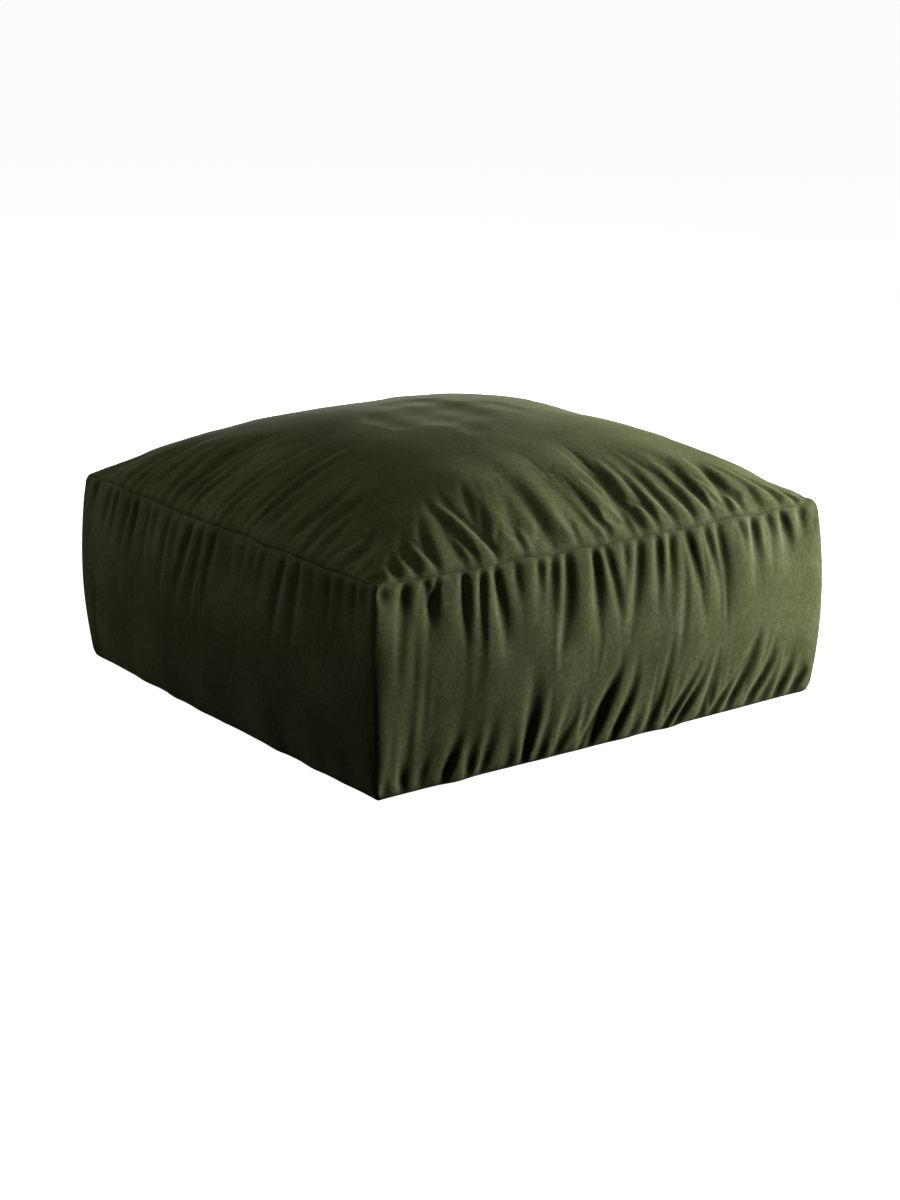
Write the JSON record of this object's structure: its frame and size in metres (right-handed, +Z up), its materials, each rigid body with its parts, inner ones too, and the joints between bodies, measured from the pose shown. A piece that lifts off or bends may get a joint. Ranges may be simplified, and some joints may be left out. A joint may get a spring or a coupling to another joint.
{
  "type": "square floor cushion",
  "caption": "Square floor cushion with a crowned top, gathered velvet cover, foam and fibre filling and a zip low on its rear side",
  "frame": {"origin": "middle of the base, on the floor", "axes": "+X right, +Y to the rear side with the zip, +Z up; the front side faces -Y"},
  "size_m": [0.96, 0.96, 0.47],
  "materials": {
    "velvet": "short-pile velvet, dark olive green, soft nap",
    "base_cloth": "plain tightly woven cloth, near black",
    "stay_tape": "woven cotton twill tape, natural",
    "label_satin": "woven satin ribbon, blank, off white",
    "liner_cotton": "plain-weave cotton, natural",
    "polyester_fibre": "lofted polyester fibre, white",
    "foam_soft": "open-cell polyurethane foam, soft grade",
    "foam_medium": "open-cell polyurethane foam, medium grade",
    "foam_firm": "open-cell polyurethane foam, firm grade",
    "zip_tape": "woven polyester zip tape, dark green",
    "zip_teeth": "moulded acetal teeth, dark green",
    "zip_metal": "die-cast slider, pull tab and stops, aged bronze plating"
  },
  "bodies": {
    "cushion": {"top_panel": "velvet", "front_panel": "velvet", "left_panel": "velvet", "right_panel": "velvet", "rear_panel_upper": "velvet", "rear_panel_lower": "velvet", "base_panel": "base_cloth", "top_stay_tape": "stay_tape", "base_stay_tape": "stay_tape", "care_label": "label_satin", "liner_top": "liner_cotton", "liner_band": "liner_cotton", "liner_base": "liner_cotton", "wadding_top": "polyester_fibre", "wadding_band": "polyester_fibre", "wadding_base": "polyester_fibre", "topper_casing": "liner_cotton", "topper_baffles": "liner_cotton", "topper_fill": "polyester_fibre", "foam_soft_slab": "foam_soft", "foam_block": "foam_medium", "foam_firm_slab": "foam_firm", "zip_tape_upper": "zip_tape", "zip_tape_lower": "zip_tape", "zip_teeth_upper": "zip_teeth", "zip_teeth_lower": "zip_teeth", "zip_top_stops": "zip_metal", "zip_bottom_stop": "zip_metal"},
    "slider": {"zip_slider": "zip_metal"},
    "pull_tab": {"zip_pull_tab": "zip_metal"}
  },
  "joints": [
    {"name": "zip_slide", "type": "slide", "parent": "cushion", "child": "slider", "axis": [-1, 0, 0], "range_m": [0, 0.745]},
    {"name": "pull_hinge", "type": "hinge", "parent": "slider", "child": "pull_tab", "pos_m": [0.372, 0.45205, 0.056], "axis": [0, 0, -1], "range_deg": [0, 170]}
  ]
}
